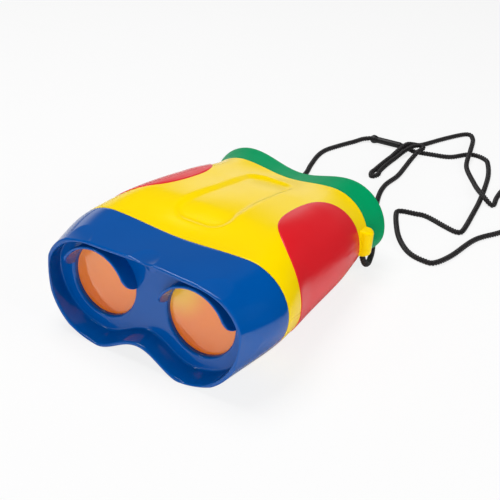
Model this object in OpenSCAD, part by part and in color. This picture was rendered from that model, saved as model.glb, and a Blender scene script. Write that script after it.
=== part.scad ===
// Toy binoculars with a hooded front, two amber lenses, a soft eyecup and a neck cord.
// Built in the lens frame: +Y runs from the face plate to the eyes, Z is up, the lens axes lie at Z = 0.
// Every piece is then tilted on to the surface it rests on. Left and right are as seen from the front.

/* [Front rim] */
// Rim of the hood, measured from the front of the face plate
rim_y = -9.5; // [-11:0.5:-8]
// Half width of the rim
rim_half_width = 57.2; // [56:0.2:59]
// Height of the widest point
rim_side = 2; // [0:0.5:4]
// Height of the two shoulders
rim_top = 24; // [24:0.2:26]
// Height of the top at the middle
rim_mid = 25; // [24.5:0.1:26]
// Height of the two lower lobes
rim_bottom = -32.2; // [-34:0.2:-30]
// Height of the notch between the lobes
rim_notch = -22.4; // [-24:0.2:-21]

/* [Hood seam] */
// Seam between hood and body
seam_y = 20.5; // [19:0.5:23]
// Half width at the seam
seam_half_width = 64.2; // [63:0.2:66]
// Height of the widest point
seam_side = 3.4; // [1:0.2:5]
// Height of the two shoulders
seam_top = 27.4; // [27:0.2:29]
// Height of the top at the middle
seam_mid = 25.6; // [25:0.2:27]
// Height of the two lower lobes
seam_bottom = -25.5; // [-27:0.5:-25]
// Height of the notch between the lobes
seam_notch = -16.5; // [-18:0.5:-15]

/* [Crown of the body] */
// Highest section of the body
crown_y = 50; // [46:1:54]
// Narrowing of each side from the hood seam to the crown
crown_narrowing = 3.8; // [2.4:0.2:5]
// Height of the widest point
crown_side = -1; // [-2:0.5:2]
// Height of the two shoulders
crown_top = 32; // [30:0.5:34]
// Height of the top at the middle
crown_mid = 33.8; // [31:0.2:35]
// Height of the two lower lobes
crown_bottom = -24; // [-26:0.5:-23]
// Height of the notch between the lobes
crown_notch = -14; // [-16:0.5:-12]

/* [Waist of the body] */
// Section where the body is drawn in
waist_y = 90; // [86:1:94]
// Half width at the waist
waist_half_width = 57.6; // [56:0.2:59]
// Height of the widest point
waist_side = -0.8; // [-2:0.2:2]
// Height of the two shoulders
waist_top = 29.2; // [28:0.2:31]
// Height of the top at the middle
waist_mid = 30; // [28:0.2:31]
// Height of the two lower lobes
waist_bottom = -21.5; // [-22.5:0.5:-20]
// Height of the notch between the lobes
waist_notch = -11; // [-13:0.5:-9]

/* [Eyecup seam] */
// Seam between body and eyecup
cup_y = 125.5; // [124:0.5:128]
// Half width at the eyecup seam
cup_half_width = 53.6; // [53:0.2:56]
// Height of the widest point
cup_side = 0; // [-1:0.5:2]
// Height of the two shoulders
cup_top = 26; // [25:0.2:28]
// Height of the dip at the middle
cup_mid = 23.3; // [22:0.1:25]
// Height of the two lower lobes
cup_bottom = -18; // [-18.4:0.2:-17]
// Height of the nose notch
cup_notch = -8.5; // [-10:0.5:-7]

/* [Rear edge] */
// Rear edge of the eyecup
rear_y = 141; // [140:0.5:145]
// Half width of the rear edge
rear_half_width = 56.7; // [55.5:0.2:59]
// Height of the widest point
rear_side = 2; // [0:0.5:4]
// Height of the two humps
rear_top = 27.2; // [25:0.2:29]
// Height of the dip at the middle
rear_mid = 21.6; // [20.5:0.1:24]
// Height of the two lower lobes
rear_bottom = -18.2; // [-19:0.2:-17]
// Height of the nose notch
rear_notch = -8.5; // [-10:0.5:-7]

/* [Section shape] */
// Width of the rounded shoulder at each side of the top
shoulder = 25; // [23:0.5:27]
// Distance of each lower lobe from the middle
lobe_offset = 26; // [24:0.5:28]
// Depth of the flats that the rim and the eyecup rest on
rest_flat = 0.6; // [0.4:0.1:0.8]

/* [Hood] */
// Wall of the hood behind the face plate
hood_wall = 2.4; // [2:0.1:2.6]
// Wall of the rim at its mouth
rim_wall = 2; // [1.8:0.1:2.4]
// Thickness of the pocket wall at the face plate
pocket_wall = 3; // [2.8:0.1:3.6]
// Thickness of the face plate
plate_thickness = 2.8; // [2.4:0.1:3.4]
// Depth of the finger scallops round the rim
scallop_depth = 0.8; // [0.5:0.1:1.2]
// Length of a scallop along the hood
scallop_length = 12; // [9:1:16]
// Width of a scallop at the rim
scallop_width = 15; // [11:1:17]
// Reach of the brow over each lens
brow_length = 9; // [7:0.5:9]
// Wall of the brow
brow_wall = 1.5; // [1.2:0.1:2]
// Radius of the brow's swept ends
brow_sweep = 9.5; // [9:0.5:11]
// Height above the lens axis where the sweep begins
brow_sweep_height = 12.5; // [11:0.5:14]
// Radius of the round boss at the top of the face plate
boss_radius = 4; // [3:0.5:5]
// Height of the round boss
boss_height = 0.7; // [0.4:0.1:1]

/* [Objective lenses] */
// Distance between the two lens axes
lens_spacing = 57; // [56:0.2:58]
// Radius of the holes in the face plate
hole_radius = 19; // [18:0.2:19.4]
// Ledge of the face plate in front of each lens
lens_ledge = 1.2; // [0.8:0.1:1.4]
// Thickness of a lens at its edge
lens_edge = 2.2; // [1.8:0.1:3]
// Rise of a lens at its middle
lens_bulge = 1.2; // [0.8:0.1:1.6]
// Wall of the collar round each lens
collar_wall = 1.6; // [1.2:0.1:1.8]
// Depth of the collar behind the face plate
collar_depth = 5.8; // [5:0.1:6.5]
// Width of the retaining ring
retainer_width = 2; // [1.6:0.1:2.6]
// Thickness of the retaining ring
retainer_thickness = 1.8; // [1.4:0.1:2.2]

/* [Body shells] */
// Wall of the two shells
shell_wall = 2.8; // [2.6:0.1:3.2]
// Wall of the spigots inside the hood and the eyecup
spigot_wall = 2; // [1.8:0.1:2.4]
// Length of the spigots
spigot_length = 7.5; // [6:0.5:8.5]
// Clearance between a spigot and what slides over it
spigot_gap = 0.25; // [0.2:0.05:0.4]
// Gap left open at the seams
seam_gap = 0.15; // [0.1:0.05:0.3]
// Gap between the two shells at the parting line
parting_gap = 0.12; // [0.1:0.02:0.2]

/* [Grip recess] */
// Half width of the recess on the top
grip_half_width = 14.5; // [12:0.5:16]
// Front end of the recess
grip_front = 32; // [29:1:38]
// Rear end of the recess
grip_rear = 112; // [106:1:115]
// Corner radius of the recess
grip_corner = 12; // [8:0.5:13]
// Depth of the recess
grip_depth = 1.6; // [1:0.1:2]
// Width of its sloping wall
grip_slope = 4; // [3:0.5:5]

/* [Side panels] */
// Middle of the inlaid side panel
panel_y = 74; // [72:1:76]
// Half length of the side panel
panel_half_length = 40; // [36:1:40]
// Turn of the section that the panel covers above and below its middle, in degrees
panel_wrap = 99; // [85:1:105]
// Fullness of the panel's outline, from 2 for an ellipse upwards
panel_fullness = 2.5; // [2:0.1:3]
// Thickness of the side panel
panel_thickness = 1.4; // [1.2:0.1:1.5]
// Gap round the side panel
panel_gap = 0.2; // [0.15:0.05:0.3]

/* [Strap lugs] */
// Middle of the lug along the body
lug_y = 120.8; // [120.5:0.1:121]
// Width of the lug along the body
lug_width = 8.6; // [8.4:0.1:8.8]
// Reach of the lug from the side
lug_reach = 4; // [3.8:0.1:5]
// Height of its upper end
lug_top = 10.4; // [9:0.2:11]
// Height of its lower end
lug_bottom = -4.6; // [-6:0.2:-4]
// Rounding of its two ends
lug_round = 2.2; // [1:0.1:2.6]
// Radius of the pocket for the knot
knot_pocket = 3.3; // [3.2:0.1:3.5]
// Floor of the knot's pocket
knot_floor = -1; // [-1.6:0.1:-0.5]
// Height of the knot
knot_height = 5.6; // [5:0.1:6.5]

/* [Eyepieces] */
// Height of the eyepieces over the objective axes
eye_rise = 3; // [2:0.2:4]
// Thickness of the eyepiece plate
eye_plate = 2; // [1.6:0.1:2.4]
// Radius of the eye holes
eye_hole = 12.5; // [11:0.1:13]
// Ledge of the plate behind each eyepiece lens
eye_ledge = 1.2; // [0.8:0.1:1.5]
// Thickness of an eyepiece lens at its edge
eye_lens_edge = 3; // [2.6:0.1:3.6]
// Hollow of an eyepiece lens at its middle
eye_lens_hollow = 1.4; // [0.8:0.1:1.6]
// Depth of the collar round each eyepiece lens
eye_collar = 5.4; // [5:0.1:6.5]

/* [Eyecup] */
// Wall of the eyecup over the spigot
cup_wall = 2.5; // [2.2:0.1:2.8]
// Bead that holds the eyepiece plate
cup_bead = 1.8; // [1.4:0.1:2.2]
// Thickness of the lip at the rear edge
cup_lip = 2; // [1.6:0.1:2.4]

/* [Screws] */
// Place of the front screw
screw_front = 34; // [30:1:36]
// Place of the rear screw
screw_rear = 112; // [108:1:114]
// Number of screws in the row under the body
screw_count = 3; // [2:1:4]
// Radius of a screw's shank
screw_radius = 1.4; // [1.2:0.1:1.6]
// Radius of a screw's head
screw_head = 2.7; // [2.4:0.1:2.9]
// Depth of the seat under the head
screw_seat = 5; // [4.5:0.1:5.5]
// Length of a screw's shank
screw_length = 14; // [12:0.5:16]
// Radius of the bosses for the screws
screw_boss = 4.2; // [4:0.1:4.6]

/* [Neck cord] */
// Diameter of the cord
cord_diameter = 2.8; // [2.4:0.1:3]
// Radius of the collar of the breakaway socket
clasp_collar = 2.9; // [2.6:0.1:3.2]
// Radius of the breakaway socket
clasp_radius = 2.2; // [2:0.1:2.5]
// Length of the breakaway socket
socket_length = 12; // [11:0.5:13]
// Length of the pin that pulls out of the socket
pin_length = 6; // [5:0.5:8]

/* [Hidden] */
$fn = 48;

hood_blue = "#0052a5";
body_yellow = "#ffe000";
panel_red = "#d2202f";
cup_green = "#0f9a56";
lens_amber = [0.93, 0.55, 0.25, 0.7];
lens_clear = [0.85, 0.9, 0.92, 0.5];
ring_black = "#202022";
screw_steel = "#b9bcc0";
cord_black = "#1b1b1d";

// Steps of the section's four runs: top, shoulder, lower lobe and notch
top_inner_steps = 2;
top_outer_steps = 3;
shoulder_steps = 11;
lower_steps = 11;
notch_steps = 7;
hood_steps = 13;
small = 0.02;
far = 200;

// Stations along the body: place, half width, side, top, middle, bottom and notch
crown_half_width = seam_half_width - crown_narrowing;
stations = [
    [rim_y, rim_half_width, rim_side, rim_top, rim_mid, rim_bottom, rim_notch],
    [seam_y, seam_half_width, seam_side, seam_top, seam_mid, seam_bottom, seam_notch],
    [crown_y, crown_half_width, crown_side, crown_top, crown_mid, crown_bottom, crown_notch],
    [waist_y, waist_half_width, waist_side, waist_top, waist_mid, waist_bottom, waist_notch],
    [cup_y, cup_half_width, cup_side, cup_top, cup_mid, cup_bottom, cup_notch],
    [rear_y, rear_half_width, rear_side, rear_top, rear_mid, rear_bottom, rear_notch]
];
last_station = len(stations) - 1;

// Monotone cubic through the stations, so that the skin has no bumps between them
function rise(k, c) = (stations[k + 1][c] - stations[k][c]) / (stations[k + 1][0] - stations[k][0]);
function slope(k, c) =
    k == 0 ? rise(0, c)
    : k == last_station ? rise(k - 1, c)
    : rise(k - 1, c) * rise(k, c) <= 0 ? 0
    : let(before = stations[k][0] - stations[k - 1][0],
          after = stations[k + 1][0] - stations[k][0],
          weight_before = 2 * after + before,
          weight_after = after + 2 * before)
      (weight_before + weight_after) / (weight_before / rise(k - 1, c) + weight_after / rise(k, c));
function span_of(y, k = 0) = k >= last_station - 1 || y < stations[k + 1][0] ? k : span_of(y, k + 1);
function measure(y, c) =
    let(k = span_of(y),
        length = stations[k + 1][0] - stations[k][0],
        t = (y - stations[k][0]) / length)
    (2 * t * t * t - 3 * t * t + 1) * stations[k][c] + (t * t * t - 2 * t * t + t) * length * slope(k, c)
    + (3 * t * t - 2 * t * t * t) * stations[k + 1][c] + (t * t * t - t * t) * length * slope(k + 1, c);
function section(y) = [for (c = [1:6]) measure(y, c)];
function inset(s, d) = [s[0] - d, s[1], s[2] - d, s[3] - d, s[4] + d, s[5] + d];
function ease(t) = (1 - cos(180 * t)) / 2;

// Point of the right half of a section. The turn v goes from 0 at the top middle, over 1 at the
// shoulder, 2 at the widest point and 3 at the lobe, to 4 in the notch.
function section_point(s, v) =
    v <= 1 ? [(s[0] - shoulder) * v, s[3] + (s[2] - s[3]) * ease(v)]
    : v <= 2 ? [s[0] - shoulder + shoulder * sin(90 * (v - 1)), s[1] + (s[2] - s[1]) * cos(90 * (v - 1))]
    : v <= 3 ? [lobe_offset + (s[0] - lobe_offset) * cos(90 * (v - 2)),
                s[1] + (s[4] - s[1]) * sin(90 * (v - 2))]
    : [lobe_offset * (4 - v), s[5] + (s[4] - s[5]) * ease(4 - v)];

// The surface that the object rests on, seen in the lens frame
rest_tilt = atan((rear_bottom - rim_bottom) / (rear_y - rim_y));
function floor_z(y) = rim_bottom + rest_flat + (y - rim_y) * tan(rest_tilt);
rim_lip = rim_wall * 0.35;
lift = -(floor_z(rim_y) - rim_y * tan(rest_tilt)) * cos(rest_tilt);
front_end = rim_y * cos(rest_tilt) + max(rim_bottom + rim_lip, floor_z(rim_y)) * sin(rest_tilt);
rear_end = rear_y * cos(rest_tilt) + (rear_top - cup_lip / 2) * sin(rest_tilt);
shift = -(front_end + rear_end) / 2;
function to_rest(p) = [p[0],
    p[1] * cos(rest_tilt) + p[2] * sin(rest_tilt) + shift,
    p[2] * cos(rest_tilt) - p[1] * sin(rest_tilt) + lift];
module rest() {
    translate([0, shift, lift])
        rotate([-rest_tilt, 0, 0])
            children();
}
// Rested piece with its lowest edge cut flat
module rest_on_flats() {
    difference() {
        rest()
            children();
        translate([-far, -far, -far])
            cube([2 * far, 2 * far, far]);
    }
}

// Skins made of rings of points, and plates made of an outer and an inner grid
function steps(a, b, n) = [for (i = [0:n - 1]) a + (b - a) * i / n];
function flat(lists) = [for (l = lists) each l];
function turned(points) = [for (i = [len(points) - 1:-1:0]) points[i]];
function skin_faces(rings, sides) = flat([for (i = [0:rings - 1], j = [0:sides - 1])
    let(a = i * sides + j,
        b = ((i + 1) % rings) * sides + j,
        c = ((i + 1) % rings) * sides + (j + 1) % sides,
        d = i * sides + (j + 1) % sides)
    [[a, b, c], [a, c, d]]]);
module ring_skin(rings) {
    polyhedron(points = flat(rings), faces = skin_faces(len(rings), len(rings[0])));
}
function quad(a, b, c, d) = [[a, b, c], [a, c, d]];
function plate_faces(m, k) =
    let(n = m * k,
        skin = flat([for (i = [0:m - 2], j = [0:k - 2])
            let(a = i * k + j, b = a + k, c = b + 1, d = a + 1)
            concat(quad(a, b, c, d), quad(n + a, n + d, n + c, n + b))]),
        sides = flat([for (i = [0:m - 2])
            let(a = i * k, b = a + k, c = a + k - 1, d = b + k - 1)
            i < m / 2 ? concat(quad(a, n + a, n + b, b), quad(c, d, n + d, n + c))
                      : concat(quad(b, a, n + a, n + b), quad(d, n + d, n + c, c))]),
        ends = flat([for (j = [0:k - 2])
            let(a = j, b = j + 1, c = (m - 1) * k + j, d = c + 1)
            concat(quad(a, b, n + b, n + a), quad(d, c, n + c, n + d))]))
    concat(skin, sides, ends);
module grid_plate(outer, inner) {
    polyhedron(points = concat(flat(outer), flat(inner)), faces = plate_faces(len(outer), len(outer[0])));
}

// Turns at which the sections are sampled. On the top they follow the edges of the grip recess.
function top_turns(y, d) =
    let(reach = measure(y, 1) - d - shoulder,
        near = grip_half_width - grip_slope)
    [for (x = concat(steps(0, near, top_inner_steps), steps(near, grip_half_width, 2),
                     steps(grip_half_width, reach, top_outer_steps))) x / reach];
function upper_turns(y, d, side) = concat(top_turns(y, d), steps(1, side, shoulder_steps), [side]);
function lower_turns(side) = concat(steps(side, 3, lower_steps), steps(3, 4, notch_steps), [4]);

// Closed loop round one section: down the right side and up the left one
function mirrored(p) = [-p[0], p[1], p[2]];
function loop_from(right) = concat(right, [for (i = [len(right) - 2:-1:1]) mirrored(right[i])]);
function at_place(p, y) = [p[0], y, p[1]];
function plain_loop(y, d) =
    let(s = inset(section(y), d))
    loop_from([for (v = concat(upper_turns(y, d, 2), [for (w = lower_turns(2)) if (w > 2) w]))
        at_place(section_point(s, v), y)]);
function plane_outline(y, d) = [for (p = plain_loop(y, d)) [p[0], p[2]]];

module along_y(from, to) {
    translate([0, to, 0])
        rotate([90, 0, 0])
            linear_extrude(to - from)
                children();
}
module turned_about_y() {
    rotate([-90, 0, 0])
        rotate_extrude()
            children();
}
module at_lens(side, height = 0) {
    translate([side * lens_spacing / 2, 0, height])
        children();
}
module tube_along_y(from, to, outer, inner) {
    along_y(from, to)
        difference() {
            circle(outer);
            circle(inner);
        }
}
module rounded_rectangle(width, height, round) {
    square([width, height - 2 * round], center = true);
    square([width - 2 * round, height], center = true);
    for (x = [-1, 1], y = [-1, 1])
        translate([x * (width / 2 - round), y * (height / 2 - round)])
            circle(round);
}

// Front hood: shroud with finger scallops, face plate, brows and lens collars in one moulding
scallop_turns = [0, 1.15, 2.05, 2.85];
turn_length = 36;
collar_radius = hole_radius + lens_ledge + spigot_gap;
collar_end = plate_thickness + collar_depth;
function scallop(y, v) =
    let(along = (y - rim_y) / scallop_length)
    scallop_depth * max([for (turn = scallop_turns)
        let(away = (v - turn) * turn_length * 2 / scallop_width) max(0, 1 - away * away - along * along)]);
hood_turns = concat(steps(0, 1, hood_steps), steps(1, 2, hood_steps), steps(2, 3, hood_steps),
                    steps(3, 4, hood_steps), [4]);
function hood_loop(y, d, cut) =
    let(s = section(y))
    loop_from([for (v = hood_turns)
        at_place(section_point(inset(s, d + cut * scallop(y, v)), v), y)]);
hood_end = seam_y - seam_gap;
scallop_end = rim_y + scallop_length;
plate_middle = plate_thickness / 2;
hood_rings = [
    hood_loop(rim_y, rim_lip, 1), hood_loop(rim_y + rim_lip, 0, 1),
    hood_loop(rim_y + scallop_length * 0.35, 0, 1), hood_loop(rim_y + scallop_length * 0.65, 0, 1),
    hood_loop(rim_y + scallop_length * 0.88, 0, 1), hood_loop(scallop_end, 0, 0),
    hood_loop((scallop_end + hood_end) / 2, 0, 0), hood_loop(hood_end, 0, 0),
    hood_loop(hood_end, hood_wall, 0), hood_loop(plate_middle, hood_wall, 0),
    hood_loop(plate_middle, pocket_wall, 0), hood_loop(rim_y + rim_lip, rim_wall, 0),
    hood_loop(rim_y, rim_wall - rim_lip, 0)
];
module brow() {
    intersection() {
        tube_along_y(-brow_length, plate_middle,
                     hole_radius + brow_wall + spigot_gap, hole_radius + spigot_gap);
        rotate([90, 0, 90])
            linear_extrude(far, center = true) {
                translate([-brow_length, brow_sweep_height])
                    square([brow_length + plate_thickness, far]);
                intersection() {
                    translate([0, brow_sweep_height])
                        circle(brow_sweep);
                    translate([-brow_length, 0])
                        square([brow_length + plate_middle, brow_sweep_height + small]);
                }
            }
    }
}
module front_hood() {
    color(hood_blue)
        rest_on_flats()
            difference() {
                union() {
                    ring_skin(hood_rings);
                    along_y(0, plate_thickness)
                        polygon(plane_outline(plate_middle, hood_wall * 0.7));
                    for (side = [-1, 1]) {
                        at_lens(side)
                            brow();
                        at_lens(side)
                            tube_along_y(plate_middle, collar_end, collar_radius + collar_wall, hole_radius);
                    }
                    translate([0, 0, hole_radius])
                        along_y(-boss_height, plate_middle)
                            circle(boss_radius);
                }
                for (side = [-1, 1]) {
                    at_lens(side)
                        along_y(-far / 2, plate_thickness + small)
                            circle(hole_radius);
                    at_lens(side)
                        along_y(plate_thickness, collar_end + small)
                            circle(collar_radius);
                }
            }
}

// Objective lenses: domed discs pushed in from behind, each held by a ring
lens_radius = hole_radius + lens_ledge;
lens_front = plate_thickness + seam_gap / 2;
lens_back = lens_front + lens_edge;
lens_sphere = (lens_radius * lens_radius + lens_bulge * lens_bulge) / (2 * lens_bulge);
module objective_lens(side) {
    color(lens_amber)
        rest()
            at_lens(side)
                turned_about_y()
                    intersection() {
                        translate([0, lens_front - lens_bulge])
                            square([lens_radius, lens_bulge + lens_edge]);
                        translate([0, lens_front - lens_bulge + lens_sphere])
                            circle(lens_sphere, $fn = 720);
                    }
}
module left_objective_lens() {
    objective_lens(-1);
}
module right_objective_lens() {
    objective_lens(1);
}
module lens_retainer(side) {
    color(ring_black)
        rest()
            at_lens(side)
                tube_along_y(lens_back + seam_gap / 2, lens_back + seam_gap / 2 + retainer_thickness,
                             lens_radius, lens_radius - retainer_width);
}
module left_lens_retainer() {
    lens_retainer(-1);
}
module right_lens_retainer() {
    lens_retainer(1);
}

// Body shells: two halves that part along the widest line, with a spigot at each end
spigot_inset = hood_wall + spigot_gap;
cup_spigot_inset = cup_wall + spigot_gap;
spigot_front = seam_y - spigot_length;
spigot_rear = cup_y + spigot_length;
upper_side = 2 - parting_gap / (PI * (crown_top - crown_side));
lower_side = 2 + parting_gap / (PI * (crown_side - crown_bottom));
body_rows = concat(steps(seam_y, grip_front, 3), steps(grip_front, grip_front + grip_slope, 2),
                   steps(grip_front + grip_slope, grip_rear - grip_slope, 7),
                   steps(grip_rear - grip_slope, grip_rear, 2), steps(grip_rear, cup_y, 2), [cup_y]);
// Each row of a shell: place and inset of its outer face, then place and inset of its inner face
front_inside = spigot_inset + spigot_wall;
rear_inside = cup_spigot_inset + spigot_wall;
function inside(y) = y == seam_y ? front_inside : y == cup_y ? rear_inside : shell_wall;
shell_rows = concat(
    [[spigot_front, spigot_inset, spigot_front, front_inside],
     [seam_y, spigot_inset, seam_y, front_inside]],
    [for (y = body_rows) [y, 0, y == seam_y ? y + spigot_wall : y == cup_y ? y - spigot_wall : y, inside(y)]],
    [[cup_y, cup_spigot_inset, cup_y, rear_inside],
     [spigot_rear, cup_spigot_inset, spigot_rear, rear_inside]]);
function recess(x, y) =
    let(middle = (grip_front + grip_rear) / 2,
        half_length = (grip_rear - grip_front) / 2,
        beside = abs(x) - grip_half_width + grip_corner,
        beyond = abs(y - middle) - half_length + grip_corner,
        outside = norm([max(beside, 0), max(beyond, 0)]) + min(max(beside, beyond), 0) - grip_corner)
    grip_depth * ease(min(max(-outside / grip_slope, 0), 1));
function upper_arc(y, d) =
    let(s = inset(section(y), d),
        right = [for (v = upper_turns(y, d, upper_side))
            let(p = section_point(s, v)) [p[0], y, p[1] - (v < 1 ? recess(p[0], y) : 0)]])
    concat([for (p = turned(right)) mirrored(p)], [for (i = [1:len(right) - 1]) right[i]]);
function lower_arc(y, d) =
    let(s = inset(section(y), d),
        right = [for (v = lower_turns(lower_side)) let(p = section_point(s, v)) [p[0], y, p[1]]])
    concat(right, [for (i = [len(right) - 2:-1:0]) mirrored(right[i])]);
module upper_blank() {
    grid_plate([for (r = shell_rows) upper_arc(r[0], r[1])], [for (r = shell_rows) upper_arc(r[2], r[3])]);
}
module lower_blank() {
    grid_plate([for (r = shell_rows) lower_arc(r[0], r[1])], [for (r = shell_rows) lower_arc(r[2], r[3])]);
}

// Strap lugs: a half-round boss at each side, parted like the shells, with a pocket for the cord's knot
lug_side = measure(lug_y, 1);
lug_axis = lug_side + lug_reach - knot_pocket - 1.2;
lug_parting = measure(lug_y, 2);
cord_bore = cord_diameter / 2 + 0.15;
lug_root = lug_side - shell_wall - 2;
lug_plan = concat([for (angle = [-90:15:90]) [lug_side + lug_reach * cos(angle),
                                              lug_y + lug_width / 2 * sin(angle)]],
                  [[lug_root, lug_y + lug_width / 2], [lug_root, lug_y - lug_width / 2]]);
module lug_block() {
    depth = lug_side + lug_reach - lug_root;
    middle_x = lug_root + depth / 2;
    middle_z = (lug_top + lug_bottom) / 2;
    intersection() {
        translate([0, 0, lug_bottom])
            linear_extrude(lug_top - lug_bottom)
                polygon(lug_plan);
        translate([middle_x, 0, middle_z])
            along_y(lug_y - lug_width, lug_y + lug_width)
                rounded_rectangle(depth, lug_top - lug_bottom, lug_round);
    }
}
module lug_half(upper) {
    edge = lug_parting + (upper ? parting_gap / 2 : -parting_gap / 2 - far);
    intersection() {
        lug_block();
        translate([0, lug_y - far / 2, edge])
            cube([far, far, far]);
    }
}
module lug_hollow() {
    translate([lug_axis, lug_y, knot_floor])
        cylinder(r = knot_pocket, h = knot_height + 0.5);
    translate([lug_axis, lug_y, lug_bottom - small])
        cylinder(r = cord_bore, h = knot_floor - lug_bottom + 2 * small);
}

// Screw posts along the middle of the body, between the two light paths
screw_pitch = (screw_rear - screw_front) / (screw_count - 1);
screw_places = [for (i = [0:screw_count - 1]) screw_front + screw_pitch * i];
function seat_z(y) = measure(y, 6) + screw_seat;
function parting_z(y) = measure(y, 2);
module upper_post(y) {
    bottom = parting_z(y) + parting_gap / 2;
    top = measure(y, 4) - recess(0, y) - shell_wall / 2;
    translate([0, y, bottom])
        cylinder(r = screw_boss, h = top - bottom);
}
module upper_pilot(y) {
    translate([0, y, 0])
        translate([0, 0, parting_z(y) - small])
            cylinder(r = screw_radius + 0.05, h = seat_z(y) + screw_length + 1 - parting_z(y));
}
module lower_post(y) {
    bottom = measure(y, 6) + shell_wall / 2;
    translate([0, y, bottom])
        cylinder(r = screw_boss, h = parting_z(y) - parting_gap / 2 - bottom);
}
module lower_hole(y) {
    translate([0, y, seat_z(y) - far])
        cylinder(r = screw_head + 0.3, h = far);
    translate([0, y, seat_z(y) - small])
        cylinder(r = screw_radius + 0.2, h = far);
}
module top_shell() {
    color(body_yellow)
        rest()
            difference() {
                union() {
                    upper_blank();
                    for (side = [0, 1])
                        mirror([side, 0, 0])
                            lug_half(true);
                    for (y = screw_places)
                        upper_post(y);
                }
                for (side = [0, 1])
                    mirror([side, 0, 0]) {
                        panel_solid(panel_gap, panel_thickness + panel_gap, -1);
                        lug_hollow();
                    }
                for (y = screw_places)
                    upper_pilot(y);
            }
}
module bottom_shell() {
    color(body_yellow)
        rest()
            difference() {
                union() {
                    lower_blank();
                    for (side = [0, 1])
                        mirror([side, 0, 0])
                            lug_half(false);
                    for (y = screw_places)
                        lower_post(y);
                }
                for (side = [0, 1])
                    mirror([side, 0, 0]) {
                        panel_solid(panel_gap, panel_thickness + panel_gap, -1);
                        lug_hollow();
                    }
                for (y = screw_places)
                    lower_hole(y);
            }
}

// Side panels: oval inlays that wrap each side, let into the shells
panel_cells = 12;
function on_disc(a, b) = [a * sqrt(1 - b * b / 2), b * sqrt(1 - a * a / 2)];
function filled_out(p) =
    let(r = norm(p))
    r < small ? p : p * r / pow(pow(abs(p[0]), panel_fullness) + pow(abs(p[1]), panel_fullness),
                                1 / panel_fullness);
function panel_grid(grow, d) =
    [for (i = [0:panel_cells])
        [for (j = [0:panel_cells])
            let(at = filled_out(on_disc(2 * i / panel_cells - 1, 2 * j / panel_cells - 1)),
                y = panel_y + (panel_half_length + grow) * at[0],
                v = 2 + (panel_wrap / 90 + grow / turn_length) * at[1],
                p = section_point(inset(section(y), d), v))
            [p[0], y, p[1]]]];
module panel_solid(grow, inner, outer) {
    grid_plate(panel_grid(grow, outer), panel_grid(grow, inner));
}
module side_panel(side) {
    color(panel_red)
        rest()
            mirror([side < 0 ? 1 : 0, 0, 0])
                panel_solid(0, panel_thickness, 0);
}
module left_side_panel() {
    side_panel(-1);
}
module right_side_panel() {
    side_panel(1);
}

// Eyepiece plate: closes the rear spigot and carries the two eyepiece lenses in collars, which keep
// clear of the spigot's wall
eye_plate_front = spigot_rear + seam_gap;
eye_plate_back = eye_plate_front + eye_plate;
eye_lens_radius = eye_hole + eye_ledge;
eye_collar_radius = eye_lens_radius + spigot_gap;
eye_collar_front = eye_plate_front - eye_collar;
eye_lens_back = eye_plate_front - seam_gap / 2;
eye_lens_front = eye_lens_back - eye_lens_edge;
eye_lens_sphere = (eye_hole * eye_hole + eye_lens_hollow * eye_lens_hollow) / (2 * eye_lens_hollow);
module eye_collar_room(y) {
    along_y(eye_collar_front, eye_plate_front + eye_plate / 2)
        polygon(plane_outline(y, rear_inside + spigot_gap));
}
module eyepiece_plate() {
    color(ring_black)
        rest()
            difference() {
                union() {
                    along_y(eye_plate_front, eye_plate_back)
                        polygon(plane_outline(eye_plate_front, cup_spigot_inset));
                    for (side = [-1, 1])
                        intersection() {
                            at_lens(side, eye_rise)
                                tube_along_y(eye_collar_front, eye_plate_front + eye_plate / 2,
                                             eye_collar_radius + collar_wall, eye_hole);
                            eye_collar_room(eye_collar_front);
                            eye_collar_room(eye_plate_front);
                        }
                }
                for (side = [-1, 1]) {
                    at_lens(side, eye_rise)
                        along_y(eye_collar_front - small, eye_plate_back + small)
                            circle(eye_hole);
                    at_lens(side, eye_rise)
                        along_y(eye_collar_front - small, eye_plate_front)
                            circle(eye_collar_radius);
                }
            }
}
module eyepiece_lens(side) {
    color(lens_clear)
        rest()
            at_lens(side, eye_rise)
                turned_about_y()
                    difference() {
                        translate([0, eye_lens_front])
                            square([eye_lens_radius, eye_lens_edge]);
                        translate([0, eye_lens_front + eye_lens_hollow - eye_lens_sphere])
                            circle(eye_lens_sphere, $fn = 720);
                    }
}
module left_eyepiece_lens() {
    eyepiece_lens(-1);
}
module right_eyepiece_lens() {
    eyepiece_lens(1);
}
module eyepiece_retainer(side) {
    color(ring_black)
        rest()
            at_lens(side, eye_rise)
                tube_along_y(eye_lens_front - seam_gap / 2 - retainer_thickness,
                             eye_lens_front - seam_gap / 2,
                             eye_lens_radius, eye_lens_radius - eye_ledge);
}
module left_eyepiece_retainer() {
    eyepiece_retainer(-1);
}
module right_eyepiece_retainer() {
    eyepiece_retainer(1);
}

// Eyecup: soft moulding that stretches over the rear spigot and flares to the rear edge
cup_front = cup_y + seam_gap;
bead_front = eye_plate_back + seam_gap;
cup_rings = [
    plain_loop(cup_front, 0), plain_loop((cup_front + rear_y) / 2, 0), plain_loop(rear_y - cup_lip / 2, 0),
    plain_loop(rear_y, cup_lip / 2), plain_loop(rear_y - cup_lip / 2, cup_lip),
    plain_loop(bead_front + cup_bead, cup_wall + cup_bead / 2), plain_loop(bead_front, cup_wall + cup_bead),
    plain_loop(bead_front, cup_wall), plain_loop(cup_front, cup_wall)
];
module eyecup() {
    color(cup_green)
        rest_on_flats()
            ring_skin(cup_rings);
}

// Case screws: one row under the body, heads up against their seats
module case_screws() {
    color(screw_steel)
        rest()
            for (y = screw_places)
                translate([0, y, seat_z(y) - small]) {
                    translate([0, 0, -screw_head * 0.75])
                        cylinder(r = screw_head, h = screw_head * 0.75);
                    cylinder(r = screw_radius, h = screw_length);
                }
}

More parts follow.
